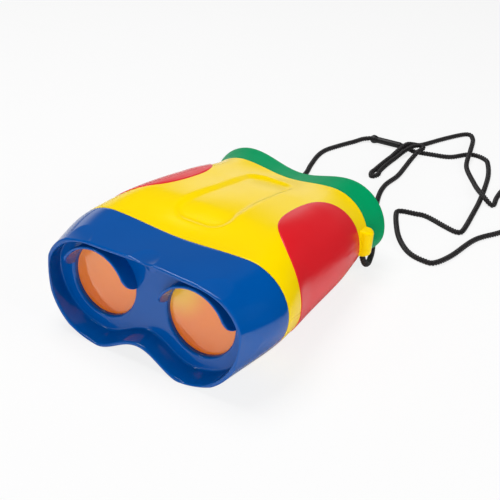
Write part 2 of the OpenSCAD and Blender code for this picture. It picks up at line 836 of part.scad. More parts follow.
// Neck cord: one loop from lug to lug with a breakaway clasp, lying loose on the surface
cord_radius = cord_diameter / 2;
lay = cord_radius;
over = 3 * cord_radius;
knot_bottom = knot_floor + seam_gap;
function lug_point(side, z) = to_rest([side * lug_axis, lug_y, z]);
clasp_start = [-19, 213.5, clasp_collar];
clasp_end = [4.5, 215.5, clasp_collar];
clasp_turn = atan((clasp_end[1] - clasp_start[1]) / (clasp_end[0] - clasp_start[0]));
clasp_length = norm(clasp_end - clasp_start);
left_route = concat([lug_point(-1, knot_bottom), lug_point(-1, lug_bottom - 1)],
    [[-54.2, 57.6, 7.5], [-53.8, 63.2, 4], [-52.6, 71, 2], [-49, 89, lay], [-40, 110, lay], [-31.5, 126, lay],
     [-30.5, 140, lay], [-34, 154, lay], [-37, 169, lay], [-36.8, 180, lay], [-32.5, 192, lay],
     [-27.5, 203, lay], [-23.5, 210.3, 2.2], clasp_start]);
right_route = concat([clasp_end],
    [[9, 215.8, 2.2], [14, 215.3, lay], [26.5, 218.5, lay], [37.5, 222.5, lay], [45.5, 233, lay],
     [51, 235.5, lay], [57.5, 234, lay], [62, 229, lay], [69.5, 210, lay], [76.5, 179, lay], [80, 156, lay],
     [82.5, 134.5, lay], [80.5, 130, lay], [73, 131.5, lay], [58, 136.5, lay], [50.5, 135.5, lay],
     [41.5, 133, lay], [41.5, 127, lay], [51.5, 108, lay], [60.5, 96.5, lay], [68.5, 90.5, lay],
     [77, 88.5, lay], [83, 90, lay], [88, 103, lay], [92.5, 128, lay], [102, 145.5, lay], [111, 166, lay],
     [108, 198, lay], [95, 208, lay], [85, 200, lay], [84.5, 186.5, lay], [86, 174.5, lay],
     [77, 179, over], [66.5, 194, lay], [52.5, 214.5, lay], [47, 234, over], [41.5, 253.5, lay],
     [38.5, 263, lay], [34.5, 266.5, lay], [24.5, 253, lay], [10, 229.5, 2.8], [6.5, 215.8, 5.8],
     [5, 196, lay], [4, 174, lay], [5.5, 166.5, lay], [7.5, 174, lay], [8.5, 196, lay],
     [12.5, 216, over + 0.4], [15.5, 224.5, 3], [17.5, 216.5, over + 0.2], [17, 203, lay], [18.5, 190, lay],
     [20, 174.5, lay], [19, 158, lay], [22.5, 141, lay], [32, 117, lay], [47, 83.5, lay],
     [51.4, 71, 2], [53.6, 63.2, 4], [54.2, 57.6, 7.5]],
    [lug_point(1, lug_bottom - 1), lug_point(1, knot_bottom)]);

// Smooth curve through a route, with one more ring in its long spans
longest_span = 15;
function bend(a, b, c, d, t) = 0.5 * (2 * b + (c - a) * t + (2 * a - 5 * b + 4 * c - d) * t * t
                                      + (3 * b - a - 3 * c + d) * t * t * t);
function smooth_route(r) = concat(flat([for (i = [0:len(r) - 2])
    let(a = r[max(i - 1, 0)], b = r[i], c = r[i + 1], d = r[min(i + 2, len(r) - 1)],
        n = norm(c - b) > longest_span ? 2 : 1)
    [for (t = steps(0, 1, n)) bend(a, b, c, d, t)]]), [r[len(r) - 1]]);
function unit(p) = p / norm(p);
function heading(c, i) = unit(c[min(i + 1, len(c) - 1)] - c[max(i - 1, 0)]);
function level_of(h) = norm([h[0], h[1]]) < 0.2 ? [1, 0, 0] : unit([-h[1], h[0], 0]);
// Sideways direction carried along the curve, so that the tube does not twist
function carried(c, i, before) = let(h = heading(c, i), s = before - h * (before * h)) unit(s);
function frames(c, i = 0, done = []) =
    i == len(c) ? done
    : frames(c, i + 1, concat(done, [carried(c, i, i == 0 ? level_of(heading(c, 0)) : done[i - 1])]));
cord_sides = 8;
function cord_ring(p, h, s) = [for (k = [0:cord_sides - 1])
    let(angle = 360 * (k + 0.5) / cord_sides, other = cross(h, s))
    p + cord_radius * (s * cos(angle) + other * sin(angle))];
module cord_tube(route) {
    c = smooth_route(route);
    f = frames(c);
    m = len(c);
    rings = flat([for (i = [0:m - 1]) cord_ring(c[i], heading(c, i), f[i])]);
    skin = flat([for (i = [0:m - 2], k = [0:cord_sides - 1])
        let(a = i * cord_sides + k, b = i * cord_sides + (k + 1) % cord_sides)
        quad(a, b, b + cord_sides, a + cord_sides)]);
    start_cap = [[for (k = [cord_sides - 1:-1:0]) k]];
    end_cap = [[for (k = [0:cord_sides - 1]) (m - 1) * cord_sides + k]];
    polyhedron(points = rings, faces = [for (face = concat(skin, start_cap, end_cap)) turned(face)]);
}
module neck_cord_left() {
    color(cord_black)
        cord_tube(left_route);
}
module neck_cord_right() {
    color(cord_black)
        cord_tube(right_route);
}

// Stopper knots in the lugs, with a flat underside where the cord runs on
module cord_knot(side) {
    color(cord_black)
        rest()
            translate([side * lug_axis, lug_y, knot_bottom])
                rotate_extrude()
                    intersection() {
                        square([knot_pocket - 0.25, knot_height - 0.3]);
                        translate([0, knot_height / 2 - 0.15])
                            circle(knot_pocket - 0.2);
                    }
}
module left_cord_knot() {
    cord_knot(-1);
}
module right_cord_knot() {
    cord_knot(1);
}

// Breakaway clasp: a collared socket and a plug whose pin pulls out of it
plug_length = clasp_length - socket_length - seam_gap;
module on_clasp() {
    translate(clasp_start)
        rotate([0, 0, clasp_turn])
            rotate([0, 90, 0])
                children();
}
module breakaway_socket() {
    color(ring_black)
        on_clasp()
            difference() {
                rotate_extrude()
                    polygon([[0, 0], [cord_radius + 0.3, 0], [clasp_collar, 1.6], [clasp_collar, 3],
                             [clasp_radius, 5.2], [clasp_radius, socket_length],
                             [0, socket_length]]);
                translate([0, 0, socket_length - pin_length - 0.5])
                    cylinder(r = cord_radius - 0.1, h = pin_length + 1);
            }
}
module breakaway_plug() {
    color(ring_black)
        on_clasp()
            translate([0, 0, socket_length + seam_gap])
                rotate_extrude()
                    polygon([[0, -pin_length], [cord_radius - 0.3, -pin_length], [cord_radius - 0.3, 0],
                             [clasp_radius, 0], [clasp_radius, plug_length - 2],
                             [cord_radius + 0.2, plug_length], [0, plug_length]]);
}

front_hood();
left_objective_lens();
right_objective_lens();
left_lens_retainer();
right_lens_retainer();
top_shell();
bottom_shell();
left_side_panel();
right_side_panel();
eyepiece_plate();
left_eyepiece_lens();
right_eyepiece_lens();
left_eyepiece_retainer();
right_eyepiece_retainer();
eyecup();
case_screws();
left_cord_knot();
right_cord_knot();
neck_cord_left();
neck_cord_right();
breakaway_socket();
breakaway_plug();
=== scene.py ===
import math

import bmesh
import bpy
import numpy as np
from mathutils import Matrix, Vector
from mathutils.geometry import delaunay_2d_cdt


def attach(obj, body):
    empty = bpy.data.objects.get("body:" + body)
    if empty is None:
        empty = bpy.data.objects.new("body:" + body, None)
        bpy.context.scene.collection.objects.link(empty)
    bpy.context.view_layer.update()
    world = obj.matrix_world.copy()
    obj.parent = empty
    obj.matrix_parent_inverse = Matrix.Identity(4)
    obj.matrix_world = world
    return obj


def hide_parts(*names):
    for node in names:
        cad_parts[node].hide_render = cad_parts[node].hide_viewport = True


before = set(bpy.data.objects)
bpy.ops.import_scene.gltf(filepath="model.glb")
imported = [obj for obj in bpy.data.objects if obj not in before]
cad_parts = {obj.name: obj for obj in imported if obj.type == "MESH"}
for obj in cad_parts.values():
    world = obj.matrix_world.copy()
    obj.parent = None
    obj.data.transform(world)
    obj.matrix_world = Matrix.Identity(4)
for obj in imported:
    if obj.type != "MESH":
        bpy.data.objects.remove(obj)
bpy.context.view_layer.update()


# Front hood: one blue ABS injection moulding. A lofted shroud with finger scallops round its rim, a flat
# face plate with two bevelled lens holes, an eyebrow over each hole and a collar behind it.
# It slides over the front spigot of the two body shells.
def linear(hex_colour):
    parts = [int(hex_colour[i:i + 2], 16) / 255 for i in (1, 3, 5)]
    return [c / 12.92 if c <= 0.04045 else ((c + 0.055) / 1.055) ** 2.4 for c in parts] + [1.0]


def add(owner, kind, links=None, **settings):
    # One node of a material or of the world, with its settings and the sockets that feed it
    node = owner.node_tree.nodes.new(kind)
    for name, value in settings.items():
        if hasattr(node, name):
            setattr(node, name, value)
        else:
            node.inputs[name.replace("_", " ")].default_value = value
    for name, socket in (links or {}).items():
        owner.node_tree.links.new(socket, node.inputs[name])
    return node


def new_material(name):
    material = bpy.data.materials.new(name)
    material.use_nodes = True
    material.node_tree.nodes.clear()
    return material


def moulded_plastic(name, colour, deeper, gloss, ior, roughness, peel_mm, peel_strength):
    # Injection-moulded plastic: a gloss skin with a faint orange peel from the tool, slightly uneven
    # pigment, and fine rub marks that break the gloss. A gloss tinted with the pigment keeps the
    # yellow and red as full as in the photograph.
    cloud_mm, rub_mm, peel_height_mm = 22, 6, 0.1
    material = new_material(name)
    place = add(material, "ShaderNodeTexCoord").outputs["Object"]
    cloud = add(material, "ShaderNodeTexNoise", {"Vector": place}, Scale=1000 / cloud_mm, Detail=3.0)
    tint = add(material, "ShaderNodeMix", {"Factor": cloud.outputs["Fac"]}, data_type="RGBA",
               A=linear(colour), B=linear(deeper))
    rubs = add(material, "ShaderNodeTexNoise", {"Vector": place}, Scale=1000 / rub_mm, Detail=5.0)
    polish = add(material, "ShaderNodeMapRange", {"Value": rubs.outputs["Fac"]},
                 From_Min=0.3, From_Max=0.75, To_Min=roughness * 0.8, To_Max=roughness * 1.3)
    peel = add(material, "ShaderNodeTexNoise", {"Vector": place}, Scale=1000 / peel_mm, Detail=1.0)
    bump = add(material, "ShaderNodeBump", {"Height": peel.outputs["Fac"]},
               Strength=peel_strength, Distance=peel_height_mm / 1000)
    skin = add(material, "ShaderNodeBsdfPrincipled",
               {"Base Color": tint.outputs["Result"], "Roughness": polish.outputs["Result"],
                "Normal": bump.outputs["Normal"]}, IOR=ior, Specular_Tint=linear(gloss))
    add(material, "ShaderNodeOutputMaterial", {"Surface": skin.outputs["BSDF"]})
    return material


# The body's form at six stations along it: y, half width, side, top, middle, bottom and notch, in
# millimetres from the point of the face plate midway between the lens holes
rim_y, seam_y, cup_y, rear_y = -9.5, 20.5, 125.5, 141
rim_bottom, rear_bottom = -32.2, -18.2
stations = np.array([
    [rim_y, 57.2, 2, 24, 25, rim_bottom, -22.4],
    [seam_y, 64.2, 3.4, 27.4, 25.6, -25.5, -16.5],
    [50, 60.4, -1, 32, 33.8, -24, -14],
    [90, 57.6, -0.8, 29.2, 30, -21.5, -11],
    [cup_y, 53.6, 0, 26, 23.3, -18, -8.5],
    [rear_y, 56.7, 2, 27.2, 21.6, rear_bottom, -8.5]])
spans = np.diff(stations[:, 0])
rises = np.diff(stations[:, 1:], axis=0) / spans[:, None]
slopes = np.zeros_like(stations[:, 1:])
slopes[0], slopes[-1] = rises[0], rises[-1]
for k in range(1, len(stations) - 1):
    before, after = 2 * spans[k] + spans[k - 1], spans[k] + 2 * spans[k - 1]
    together = rises[k - 1] * rises[k] > 0
    rise_before = np.where(together, rises[k - 1], 1)
    rise_after = np.where(together, rises[k], 1)
    slopes[k] = np.where(together, (before + after) / (before / rise_before + after / rise_after), 0)


def body_section(y):
    # Half width, side, top, middle, bottom and notch of the body at y, by monotone cubics
    k = np.clip(np.searchsorted(stations[:, 0], y, side="right") - 1, 0, len(stations) - 2)
    length = spans[k][..., None]
    t = ((y - stations[k, 0]) / spans[k])[..., None]
    return ((2 * t**3 - 3 * t**2 + 1) * stations[k, 1:] + (t**3 - 2 * t**2 + t) * length * slopes[k]
            + (3 * t**2 - 2 * t**3) * stations[k + 1, 1:] + (t**3 - t**2) * length * slopes[k + 1])


def ease(t):
    return (1 - np.cos(np.pi * t)) / 2


shoulder, lobe_offset, rest_flat = 25, 26, 0.6
tilt = math.atan((rear_bottom - rim_bottom) / (rear_y - rim_y))


def body_point(y, inset, turn):
    # Point on the body's skin, inset by its wall. The turn runs from 0 at the top middle, over 2 at the
    # widest point, to 4 in the notch; a negative turn lies on the left side.
    y, inset, turn = np.broadcast_arrays(*(np.asarray(value, float) for value in (y, inset, turn)))
    width, side, top, middle, bottom, notch = np.moveaxis(body_section(y), -1, 0)
    width, top, middle = width - inset, top - inset, middle - inset
    bottom, notch = bottom + inset, notch + inset
    v = np.abs(turn)
    quarter = np.pi / 2
    x = np.select([v <= 1, v <= 2, v <= 3],
                  [(width - shoulder) * v,
                   width - shoulder + shoulder * np.sin(quarter * (v - 1)),
                   lobe_offset + (width - lobe_offset) * np.cos(quarter * (v - 2))],
                  lobe_offset * (4 - v))
    z = np.select([v <= 1, v <= 2, v <= 3],
                  [middle + (top - middle) * ease(v),
                   side + (top - side) * np.cos(quarter * (v - 1)),
                   side + (bottom - side) * np.sin(quarter * (v - 2))],
                  notch + (bottom - notch) * ease(4 - v))
    z = np.maximum(z, rim_bottom + rest_flat + (y - rim_y) * math.tan(tilt))
    return np.stack([np.where(turn < 0, -x, x), y, z], -1)


rest_back, rest_lift = 65.222, 30.584


def to_rest(points):
    # From the lens frame in millimetres to the surface that the toy rests on, in metres
    x, y, z = np.asarray(points, float).reshape(-1, 3).T
    c, s = math.cos(tilt), math.sin(tilt)
    return np.stack([x, y * c + z * s - rest_back, z * c - y * s + rest_lift], -1) / 1000


def rows_of_quads(rows, columns, closed=False):
    i, j = np.meshgrid(np.arange(rows - 1), np.arange(columns if closed else columns - 1), indexing="ij")
    a, b = i * columns + j, i * columns + (j + 1) % columns
    return np.stack([a, a + columns, b + columns, b], -1).reshape(-1, 4).tolist()


def turned_profile(profile, x, z, segments):
    # A profile of radius and depth turned about an axis that runs along y
    angle = np.linspace(0, 2 * math.pi, segments, endpoint=False)
    r, y = np.asarray(profile, float).T
    points = np.stack([x + r[:, None] * np.cos(angle), np.repeat(y[:, None], segments, 1),
                       z + r[:, None] * np.sin(angle)], -1)
    return points.reshape(-1, 3), rows_of_quads(len(r), segments, True)


lens_spacing, lens_segments = 57, 128
lens_x = lens_spacing / 2


def lens_plate(ring, radius, y):
    # Flat plate across a ring of the hood, with a hole of this radius round each lens axis
    around = np.linspace(0, 2 * math.pi, lens_segments, endpoint=False)
    loops = [[(p[0], p[2]) for p in ring]]
    loops += [[(side * lens_x + radius * math.cos(a), radius * math.sin(a)) for a in around]
              for side in (-1, 1)]
    edges, start = [], 0
    for loop in loops:
        edges += [(start + i, start + (i + 1) % len(loop)) for i in range(len(loop))]
        start += len(loop)
    outline = [Vector(p) for loop in loops for p in loop]
    inside_only, nearness, nearly = 1, 1e-7, 0.999
    verts, _, faces, *_ = delaunay_2d_cdt(outline, edges, [], inside_only, nearness)
    kept = []
    for face in faces:
        middle = sum((verts[i] for i in face), Vector((0, 0))) / len(face)
        if all((middle - Vector((side * lens_x, 0))).length > radius * nearly for side in (-1, 1)):
            kept.append(list(face))
    return np.array([[v.x, y, v.y] for v in verts]), kept


def make_piece(name, shapes, material, sharp=35):
    # One piece from shapes in the lens frame, welded, with edges over the sharp angle kept crisp
    weld = 2e-6
    points, faces, count = [], [], 0
    for shape_points, shape_faces in shapes:
        shape_points = np.asarray(shape_points, float).reshape(-1, 3)
        points.append(shape_points)
        faces += [[i + count for i in face] for face in shape_faces]
        count += len(shape_points)
    mesh = bpy.data.meshes.new(name)
    mesh.from_pydata(to_rest(np.concatenate(points)).tolist(), [], faces)
    joined = bmesh.new()
    joined.from_mesh(mesh)
    bmesh.ops.remove_doubles(joined, verts=joined.verts, dist=weld)
    bmesh.ops.recalc_face_normals(joined, faces=joined.faces)
    joined.to_mesh(mesh)
    joined.free()
    piece = bpy.data.objects.new(name, mesh)
    bpy.context.collection.objects.link(piece)
    mesh.shade_smooth()
    mesh.set_sharp_from_angle(angle=math.radians(sharp))
    mesh.materials.append(material)
    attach(piece, "root")
    return piece


def turns_around(count):
    # Turns of a closed loop: from the top middle down the right side and back up the left one
    return np.concatenate([np.linspace(0, 4, count), -np.linspace(4, 0, count)[1:-1]])


hood_turns = turns_around(281)
# Where the dents sit round the rim, their size, and the millimetres of skin in one unit of turn
scallop_turns = np.array([0, 1.15, 2.05, 2.85])
scallop_depth, scallop_length, scallop_width, scallop_softness = 0.8, 12, 15, 0.001
turn_length = 36


def scallop(y):
    # Depth of the shallow thumbnail-shaped dents, with a softened edge
    away = (np.abs(hood_turns)[:, None] - scallop_turns) * turn_length * 2 / scallop_width
    within = np.max(1 - away**2 - ((y - rim_y) / scallop_length)**2, axis=1)
    return scallop_depth * (within + np.sqrt(within**2 + scallop_softness)) / 2


def hood_ring(y, inset, cut):
    return body_point(y, inset + cut * scallop(y), hood_turns)


# Rings from the face plate out along the pocket, over the rolled lip, back over the scallops to the rear
# edge, and forward inside the skirt to the back of the plate
hood_wall, rim_wall, pocket_wall, plate_thickness, seam_gap = 2.4, 2, 3, 2.8, 0.15
plate_edge, fillet, lip_roll, row_gap = 0.5, 1, 0.7, 0.4
past_scallops, plain_from, rear_softening = 3.6, 5, ((0.12, 0.1), (0, 0.35))
lip_y, hood_end = rim_y + lip_roll, seam_y - seam_gap
quarter_turn, half_turn = np.linspace(0, math.pi / 2, 9), np.linspace(0, math.pi, 11)
hood_rings = [hood_ring(0, pocket_wall + fillet + plate_edge, 0)]
hood_rings += [hood_ring(fillet * (math.cos(a) - 1), pocket_wall + fillet * (1 - math.sin(a)), 0)
               for a in quarter_turn]
hood_rings += [hood_ring(y, np.interp(y, (lip_y, 0), (rim_wall, pocket_wall)), 0)
               for y in np.linspace(-2 * fillet, lip_y + row_gap, 8)]
hood_rings += [hood_ring(lip_y - lip_roll * math.sin(a), rim_wall * (1 + math.cos(a)) / 2,
                         (1 - math.cos(a)) / 2) for a in half_turn]
hood_rings += [hood_ring(y, 0, 1) for y in np.linspace(lip_y + row_gap, past_scallops, 31)]
hood_rings += [hood_ring(y, 0, 1) for y in np.linspace(plain_from, hood_end - row_gap, 14)]
hood_rings += [hood_ring(hood_end - forward, inset, 0) for forward, inset in rear_softening]
hood_rings += [hood_ring(y, hood_wall, 0) for y in (hood_end, plate_thickness)]
hood_shapes = [(np.array(hood_rings), rows_of_quads(len(hood_rings), len(hood_turns), True))]

# Lens holes, bevelled in front, with a collar behind each
hole_radius, hole_bevel, bevel_edge = 19, 1.5, 0.4
lens_ledge, spigot_gap, collar_wall, collar_depth = 1.2, 0.25, 1.6, 5.8
hole_mouth = hole_radius + hole_bevel + bevel_edge
lens_radius = hole_radius + lens_ledge
collar_inside = lens_radius + spigot_gap
collar_outside = collar_inside + collar_wall
collar_end = plate_thickness + collar_depth
hood_shapes.append(lens_plate(hood_rings[0], hole_mouth, 0))
hood_shapes.append(lens_plate(hood_rings[-1], collar_outside, plate_thickness))
hole_profile = [(hole_mouth, 0)]
hole_profile += [(hole_radius + hole_bevel * (1 - math.sin(a)), hole_bevel * (1 - math.cos(a)))
                 for a in quarter_turn]
hole_profile += [(hole_radius, plate_thickness), (collar_inside, plate_thickness),
                 (collar_inside, collar_end), (collar_outside, collar_end), (collar_outside, plate_thickness)]
for side in (-1, 1):
    hood_shapes.append(turned_profile(hole_profile, side * lens_x, 0, lens_segments))

# Brows: a curved shade over each hole that sweeps back to the plate at both ends, with rounded edges
brow_wall, brow_length, brow_sweep, brow_sweep_height = 1.5, 9, 9.5, 12.5
brow_radius, brow_root = hole_radius + spigot_gap + brow_wall / 2, plate_thickness / 2
brow_foot = math.asin((brow_sweep_height - brow_sweep) / brow_radius)
brow_angles = brow_foot + (math.pi - 2 * brow_foot) * ease(np.linspace(0, 1, 81))
brow_edge = ((-brow_wall / 2, 0.7), (-0.62, 0.25), (-0.3, 0), (0.3, 0), (0.62, 0.25), (brow_wall / 2, 0.7))
for side in (-1, 1):
    brow_rings = []
    for angle in brow_angles:
        drop = max(brow_sweep_height - brow_radius * math.sin(angle), 0)
        reach = min(brow_length, math.sqrt(max(brow_sweep**2 - drop**2, 0)))
        outline = [(-brow_wall / 2, brow_root)] + [(across, back - reach) for across, back in brow_edge]
        outline.append((brow_wall / 2, brow_root))
        brow_rings.append([(side * lens_x + (brow_radius + across) * math.cos(angle), y,
                            (brow_radius + across) * math.sin(angle)) for across, y in outline])
    corners, ends = len(outline), len(brow_angles) * len(outline)
    brow_faces = rows_of_quads(len(brow_angles), corners, True)
    brow_faces += [list(range(corners)), list(range(ends - corners, ends))]
    hood_shapes.append((brow_rings, brow_faces))

# A round boss between the brows
boss_radius, boss_height, boss_root = 4, 0.7, 1
boss_round, round_middle, boss_centre = 0.35, 0.1, 0.01
boss_profile = [(boss_radius, boss_root), (boss_radius, boss_round - boss_height),
                (boss_radius - round_middle, round_middle - boss_height),
                (boss_radius - boss_round, -boss_height), (boss_centre, -boss_height)]
hood_shapes.append(turned_profile(boss_profile, 0, hole_radius, segments=64))
# High-gloss ABS: a deep, even blue with sharp reflections
hood_blue = moulded_plastic("gloss_blue_moulded_ABS", "#0055a8", "#004f9e", "#f4f8ff",
                            ior=1.5, roughness=0.07, peel_mm=1.6, peel_strength=0.05)
hood = make_piece("hood_moulding", hood_shapes, hood_blue, sharp=40)
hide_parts("front_hood")


# Objective lenses: two domed discs of amber-tinted acrylic, injection moulded and polished. Each is pushed
# into its collar of the hood from behind and held there by a black ring.
lens_bulge, lens_edge, edge_round, pinhole = 1.2, 2.2, 0.2, 0.001
front_softening, back_softening = 0.125, 0.075
lens_front = plate_thickness + seam_gap / 2
lens_back = lens_front + lens_edge
lens_profile = [(r, lens_front - lens_bulge + lens_bulge * (r / lens_radius)**2)
                for r in np.linspace(pinhole, lens_radius - edge_round, 30)]
lens_profile += [(lens_radius, lens_front + front_softening), (lens_radius, lens_back - back_softening),
                 (lens_radius - edge_round, lens_back), (pinhole, lens_back)]
haze_mm, lens_foot, lens_head, painted_glow_middle = 12, 0.014, 0.046, (0.0135, -0.064, 0.0415)
painted_glow_core, painted_glow_reach, painted_glow_share = 0.003, 0.019, 0.9
# Tinted acrylic: a deep amber under a sharp gloss, slightly hazed by handling, with painted light on it: it
# is made paler toward its top, the right lens has a painted spot of yellow light at its inner upper edge, as
# of the yellow body behind it, and the whole lens gives off a faint amber light of its own
amber = new_material("amber_tinted_acrylic")
place = add(amber, "ShaderNodeTexCoord").outputs["Object"]
across = add(amber, "ShaderNodeSeparateXYZ", {"Vector": place})
# Painted light: the amber is made paler toward the top of each lens
painted_top_lightening = add(amber, "ShaderNodeMapRange", {"Value": across.outputs["Z"]},
             From_Min=lens_foot, From_Max=lens_head, To_Min=0.0, To_Max=1.0)
tint = add(amber, "ShaderNodeMix", {"Factor": painted_top_lightening.outputs["Result"]}, data_type="RGBA",
           A=linear("#e0701c"), B=linear("#ef8a3c"))
# Painted light: a soft spot of yellow light on the right lens, as of the yellow body behind it
within = add(amber, "ShaderNodeVectorMath", {0: place}, operation="DISTANCE")
within.inputs[1].default_value = painted_glow_middle
painted_glow_mask = add(amber, "ShaderNodeMapRange", {"Value": within.outputs["Value"]}, interpolation_type="SMOOTHSTEP",
            From_Min=painted_glow_core, From_Max=painted_glow_reach, To_Min=painted_glow_share, To_Max=0.0)
amber_and_painted_light = add(amber, "ShaderNodeMix", {"Factor": painted_glow_mask.outputs["Result"], "A": tint.outputs["Result"]},
           data_type="RGBA", B=linear("#eebb30"))
haze = add(amber, "ShaderNodeTexNoise", {"Vector": place}, Scale=1000 / haze_mm, Detail=3.0)
polish = add(amber, "ShaderNodeMapRange", {"Value": haze.outputs["Fac"]},
             From_Min=0.3, From_Max=0.7, To_Min=0.02, To_Max=0.05)
# Painted light: the lens gives off a faint amber light of its own, the yellow spot included, though it is no
# lamp
glass = add(amber, "ShaderNodeBsdfPrincipled",
            {"Base Color": amber_and_painted_light.outputs["Result"], "Roughness": polish.outputs["Result"],
             "Emission Color": amber_and_painted_light.outputs["Result"]}, Emission_Strength=0.1,
            IOR=1.6, Transmission_Weight=0.1, Coat_Weight=0.6, Coat_IOR=1.7, Coat_Roughness=0.02)
add(amber, "ShaderNodeOutputMaterial", {"Surface": glass.outputs["BSDF"]})
for side, name in ((-1, "left"), (1, "right")):
    disc = turned_profile(lens_profile, side * lens_x, 0, lens_segments)
    lens = make_piece(name + "_amber_lens", [disc], amber)
    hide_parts(name + "_objective_lens")


# Lens retainers: two flat rings of black ABS, injection moulded. Each lies in a collar of the hood behind
# its lens and keeps it there; the tinted lens all but hides it.
def give_finish(material, *nodes):
    # A CAD node whose shape is right stays, with this material on it
    for node in nodes:
        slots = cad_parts[node].data.materials
        slots.clear()
        slots.append(material)


# Satin ABS: a neutral near-black with a broad, soft shine
ring_black = moulded_plastic("satin_black_moulded_ABS", "#1c1c1e", "#262629", "#ffffff",
                             ior=1.5, roughness=0.42, peel_mm=0.9, peel_strength=0.25)
give_finish(ring_black, "left_lens_retainer", "right_lens_retainer")


# Body shells: two yellow ABS halves that part along the widest line, with a soft-edged grip recess on
# top, a strap lug at each side and screw posts between the two light paths. The front spigot goes into
# the hood and the rear one into the eyecup.
grip_front, grip_rear, grip_half_width, grip_corner, grip_slope, grip_depth = 32, 114, 15, 12, 4, 1.6
flare_rear, flare_rate, flare_most = 72, 0.075, 3


def grip_recess(x, y):
    # Depth of a recess with rounded corners that flares toward the front
    flare = np.clip((flare_rear - y) * flare_rate, 0, flare_most)
    beside = np.abs(x) - grip_half_width - flare + grip_corner
    beyond = np.abs(y - (grip_front + grip_rear) / 2) - (grip_rear - grip_front) / 2 + grip_corner
    outside = np.hypot(np.maximum(beside, 0), np.maximum(beyond, 0)) - grip_corner
    outside += np.minimum(np.maximum(beside, beyond), 0)
    return grip_depth * ease(np.clip(-outside / grip_slope, 0, 1))


# Rows from the front spigot to the rear one: y and the inset of the skin, with both seams softened
shell_wall, spigot_wall, spigot_length, cup_wall = 2.8, 2, 7.5, 2.5
front_inset, rear_inset = hood_wall + spigot_gap, cup_wall + spigot_gap
seam_softening, cup_softening = ((0, 0.4), (0.12, 0.12), (0.45, 0)), ((0.3, 0.05), (0.1, 0.18), (0, 0.4))
plain_start, plain_end = seam_y + 1.1, cup_y - 0.6
outer_rows = [(seam_y - spigot_length, front_inset), (seam_y, front_inset)]
outer_rows += [(seam_y + y, inset) for y, inset in seam_softening]
outer_rows += [(y, 0) for y in np.linspace(plain_start, plain_end, 96)]
outer_rows += [(cup_y - y, inset) for y, inset in cup_softening]
outer_rows += [(cup_y, rear_inset), (cup_y + spigot_length, rear_inset)]
inner_rows = [(y, shell_wall if seam_y < y < cup_y else front_inset + spigot_wall) for y, _ in outer_rows]


def shell_grid(rows, turns, groove):
    grid = []
    for y, inset in rows:
        points = body_point(y, inset + groove, turns)
        points[:, 2] -= np.where(np.abs(turns) < 1, grip_recess(points[:, 0], y), 0)
        grid.append(points)
    return np.array(grid)


# The groove at the parting line: how near the turn is to it, and how deep the skin lies there
groove_turn, groove_depth, shoulder_turn, shoulder_depth = 0.005, 0.1, 0.01, 0.04


def shell_shape(turns):
    # Skin and inside of one half, joined along all four edges, with a fine groove at the parting line
    to_parting = np.abs(np.abs(turns) - 2)
    groove = np.select([to_parting < groove_turn, to_parting < shoulder_turn],
                       [groove_depth, shoulder_depth], 0)
    outer = shell_grid(outer_rows, turns, groove)
    inner = shell_grid(inner_rows, turns, 0)
    rows, columns = outer.shape[:2]
    count = rows * columns
    faces = rows_of_quads(rows, columns)
    faces += [[count + i for i in reversed(face)] for face in faces]
    index = np.arange(count).reshape(rows, columns)
    for edge in (index[:, 0].tolist(), index[:, -1].tolist(), index[0].tolist(), index[-1].tolist()):
        faces += [[a, b, count + b, count + a] for a, b in zip(edge, edge[1:])]
    return np.concatenate([outer.reshape(-1, 3), inner.reshape(-1, 3)]), faces


lug_y, lug_side, lug_width, lug_reach = 120.8, 54.1, 8.6, 4
lug_top, lug_bottom, lug_round, lug_gap, lug_bite = 10.4, -4.6, 2.2, 0.1, 2
lug_root = lug_side - shell_wall - lug_bite


def lug_half(side, low, high):
    # Half of a strap lug: a half-round boss with its ends rounded over
    levels = []
    for z in low + (high - low) * ease(np.linspace(0, 1, 33)):
        near_end = min(lug_top - z, z - lug_bottom, lug_round)
        pull = lug_round - math.sqrt(lug_round**2 - (lug_round - near_end)**2)
        half_width = lug_width / 2 - pull / 2
        ring = [(side * (lug_side + (lug_reach - pull) * math.cos(a)), lug_y + half_width * math.sin(a), z)
                for a in np.linspace(-math.pi / 2, math.pi / 2, 25)]
        ring += [(side * lug_root, lug_y + half_width, z), (side * lug_root, lug_y - half_width, z)]
        levels.append(ring)
    rows, columns = len(levels), len(levels[0])
    ends = [list(range(columns)), list(range((rows - 1) * columns, rows * columns))]
    return np.array(levels), rows_of_quads(rows, columns, True) + ends


screw_boss, parting_gap = 4.2, 0.12
# Where each post stands, and the heights of the parting line, its top and its foot there
posts = ((34, 1.1, 25, -14), (73, -1, 29.5, -11), (112, -0.3, 22.8, -8))


def screw_post(y, low, high):
    angle = np.linspace(0, 2 * math.pi, 40, endpoint=False)
    rings = [[(screw_boss * math.cos(a), y + screw_boss * math.sin(a), z) for a in angle]
             for z in (low, high)]
    return rings, rows_of_quads(len(rings), len(angle), True)


# ABS of a lower gloss than the hood's: a bright, warm yellow that stays full under the lamps
body_yellow = moulded_plastic("gloss_yellow_moulded_ABS", "#ffde00", "#fed900", "#fff0a0",
                              ior=1.33, roughness=0.18, peel_mm=1.8, peel_strength=0.05)
near_parting, parting_margin = np.array([0.02, 0.006, 0.001]), 0.03
upper_right = np.concatenate([np.linspace(0, 1, 34)[:-1], np.linspace(1, 2 - parting_margin, 34),
                              2 - near_parting])
upper_shapes = [shell_shape(np.concatenate([-upper_right[::-1], upper_right[1:]]))]
upper_shapes += [lug_half(side, 0, lug_top) for side in (-1, 1)]
upper_shapes += [screw_post(y, parting + parting_gap / 2, top) for y, parting, top, _ in posts]
upper = make_piece("upper_body_shell", upper_shapes, body_yellow)
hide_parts("top_shell")
lower_right = np.concatenate([2 + near_parting[::-1], np.linspace(2 + parting_margin, 3, 34),
                              np.linspace(3, 4, 26)[1:]])
